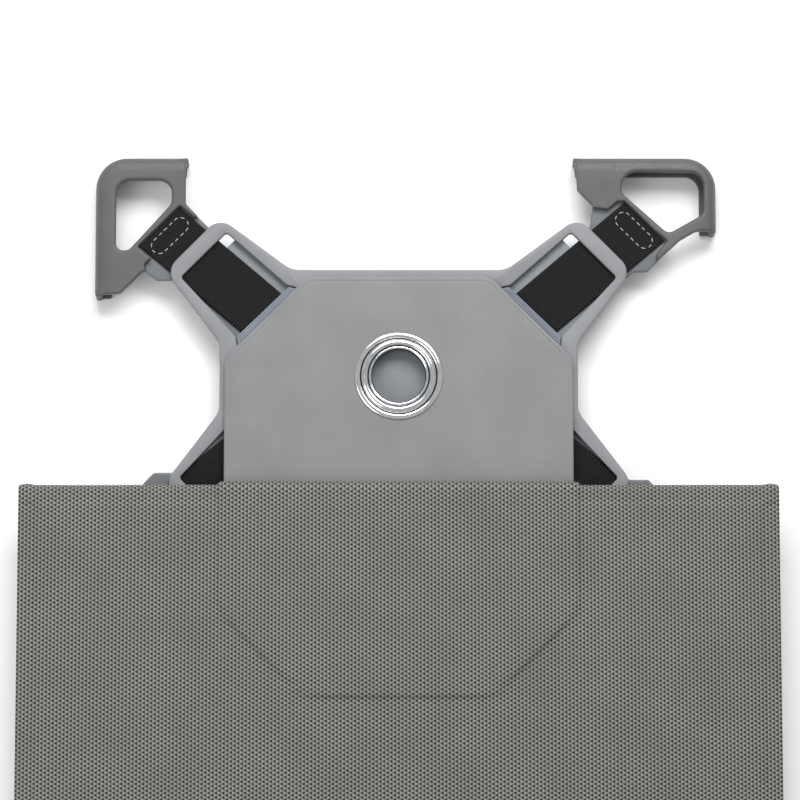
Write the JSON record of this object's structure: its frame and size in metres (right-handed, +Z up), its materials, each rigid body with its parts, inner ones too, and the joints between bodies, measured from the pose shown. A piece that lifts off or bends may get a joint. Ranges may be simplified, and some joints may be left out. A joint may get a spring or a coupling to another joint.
{
  "type": "tablet keyboard case",
  "caption": "Folding tablet cover with a wireless keyboard, an easel leg and a holder with elastic corner grips that turns on a chrome eyelet.",
  "frame": {"origin": "centre of the bounding box's base, on the surface the open case lies on", "axes": "+X along the fold lines, +Y from the keyboard's front edge towards the tablet holder, +Z up"},
  "size_m": [0.297, 0.5106, 0.0241],
  "materials": {
    "outer_leather": "smooth matt polyurethane leather",
    "dotted_leather": "polyurethane leather embossed with small dots",
    "board": "stiff greyboard",
    "smooth_leather": "smooth fine-grained polyurethane leather over a stiff plate",
    "grip_rubber": "soft matt thermoplastic rubber",
    "frame_plastic": "fine satin moulding",
    "backing_plastic": "light blue-grey satin moulding",
    "chrome": "polished plate",
    "strap_elastic": "woven ribbed elastic with a light stitch on the tab",
    "key_plastic": "fine matt keycap",
    "case_plastic": "fine matt moulding",
    "membrane_rubber": "matt rubber",
    "circuit_board": "solder mask",
    "battery_wrap": "foil pouch",
    "steel": "plated sheet",
    "lens": "clear light pipe"
  },
  "bodies": {
    "front_cover": {"front_skin": "outer_leather", "front_board": "board", "front_lining": "dotted_leather", "tablet_rest_ridge": "membrane_rubber", "keyboard_tray": "case_plastic", "keyboard_bezel": "case_plastic", "key_membrane": "membrane_rubber", "keyboard_pcb": "circuit_board", "keyboard_battery": "battery_wrap", "usb_socket": "steel", "status_lens": "lens"},
    "spine": {"spine_skin": "outer_leather", "spine_board": "board", "spine_lining": "dotted_leather"},
    "leg": {"leg_skin": "outer_leather", "leg_board": "board", "leg_doubler": "board", "leg_lining": "dotted_leather"},
    "carrier": {"far_lining": "dotted_leather", "far_board": "board", "far_skin": "outer_leather", "hinge_pad": "membrane_rubber", "swivel_plate": "smooth_leather", "eyelet": "chrome", "eyelet_washer": "steel"},
    "holder_frame": {"frame_base": "backing_plastic", "frame_top": "frame_plastic", "anchor_bar_upper_left": "backing_plastic", "anchor_bar_upper_right": "backing_plastic", "anchor_bar_lower_right": "backing_plastic", "anchor_bar_lower_left": "backing_plastic"},
    "corner_upper_left": {"grip_upper_left": "grip_rubber", "strap_upper_left": "strap_elastic"},
    "corner_upper_right": {"grip_upper_right": "grip_rubber", "strap_upper_right": "strap_elastic"},
    "corner_lower_right": {"grip_lower_right": "grip_rubber", "strap_lower_right": "strap_elastic"},
    "corner_lower_left": {"grip_lower_left": "grip_rubber", "strap_lower_left": "strap_elastic"},
    "fn_row_keys": {"fn_row": "key_plastic"},
    "number_row_keys": {"number_row": "key_plastic"},
    "q_row_keys": {"q_row": "key_plastic"},
    "a_row_keys": {"a_row": "key_plastic"},
    "z_row_keys": {"z_row": "key_plastic"},
    "modifiers_left_group": {"modifiers_left": "key_plastic"},
    "space_bar_group": {"space_bar": "key_plastic"},
    "modifiers_right_group": {"modifiers_right": "key_plastic"},
    "arrow_keys_group": {"arrow_keys": "key_plastic"},
    "switch": {"power_switch": "key_plastic"},
    "button": {"pair_button": "key_plastic"}
  },
  "joints": [
    {"name": "front_fold", "type": "hinge", "parent": "front_cover", "child": "spine", "pos_m": [0, -0.04935, 0.0014], "axis": [1, 0, 0], "range_deg": [-47.3, 42.7]},
    {"name": "leg_fold", "type": "hinge", "parent": "spine", "child": "leg", "pos_m": [0, -0.03015, 0.0222], "axis": [1, 0, 0], "range_deg": [0, 137.3]},
    {"name": "easel_crease", "type": "hinge", "parent": "leg", "child": "carrier", "pos_m": [0, 0.11945, 0.0207], "axis": [1, 0, 0], "range_deg": [0, 180]},
    {"name": "holder_swivel", "type": "hinge", "parent": "carrier", "child": "holder_frame", "pos_m": [0, 0.16605, 0.013], "axis": [0, 0, 1], "continuous": true},
    {"name": "stretch_upper_left", "type": "slide", "parent": "holder_frame", "child": "corner_upper_left", "axis": [-0.7604, 0.6494, 0], "range_m": [0, 0.012], "stiffness_N_per_m": 400},
    {"name": "stretch_upper_right", "type": "slide", "parent": "holder_frame", "child": "corner_upper_right", "axis": [0.7604, 0.6494, 0], "range_m": [0, 0.012], "stiffness_N_per_m": 400},
    {"name": "stretch_lower_right", "type": "slide", "parent": "holder_frame", "child": "corner_lower_right", "axis": [0.7604, -0.6494, 0], "range_m": [0, 0.012], "stiffness_N_per_m": 400},
    {"name": "stretch_lower_left", "type": "slide", "parent": "holder_frame", "child": "corner_lower_left", "axis": [-0.7604, -0.6494, 0], "range_m": [0, 0.012], "stiffness_N_per_m": 400},
    {"name": "press_fn_row", "type": "slide", "parent": "front_cover", "child": "fn_row_keys", "axis": [0, 0, -1], "range_m": [0, 0.0012], "stiffness_N_per_m": 600},
    {"name": "press_number_row", "type": "slide", "parent": "front_cover", "child": "number_row_keys", "axis": [0, 0, -1], "range_m": [0, 0.0012], "stiffness_N_per_m": 600},
    {"name": "press_q_row", "type": "slide", "parent": "front_cover", "child": "q_row_keys", "axis": [0, 0, -1], "range_m": [0, 0.0012], "stiffness_N_per_m": 600},
    {"name": "press_a_row", "type": "slide", "parent": "front_cover", "child": "a_row_keys", "axis": [0, 0, -1], "range_m": [0, 0.0012], "stiffness_N_per_m": 600},
    {"name": "press_z_row", "type": "slide", "parent": "front_cover", "child": "z_row_keys", "axis": [0, 0, -1], "range_m": [0, 0.0012], "stiffness_N_per_m": 600},
    {"name": "press_modifiers_left", "type": "slide", "parent": "front_cover", "child": "modifiers_left_group", "axis": [0, 0, -1], "range_m": [0, 0.0012], "stiffness_N_per_m": 600},
    {"name": "press_space_bar", "type": "slide", "parent": "front_cover", "child": "space_bar_group", "axis": [0, 0, -1], "range_m": [0, 0.0012], "stiffness_N_per_m": 600},
    {"name": "press_modifiers_right", "type": "slide", "parent": "front_cover", "child": "modifiers_right_group", "axis": [0, 0, -1], "range_m": [0, 0.0012], "stiffness_N_per_m": 600},
    {"name": "press_arrow_keys", "type": "slide", "parent": "front_cover", "child": "arrow_keys_group", "axis": [0, 0, -1], "range_m": [0, 0.0012], "stiffness_N_per_m": 600},
    {"name": "power_slide", "type": "slide", "parent": "front_cover", "child": "switch", "axis": [1, 0, 0], "range_m": [0, 0.004]},
    {"name": "pair_press", "type": "slide", "parent": "front_cover", "child": "button", "axis": [0, 0, -1], "range_m": [0, 0.0008], "stiffness_N_per_m": 500}
  ]
}
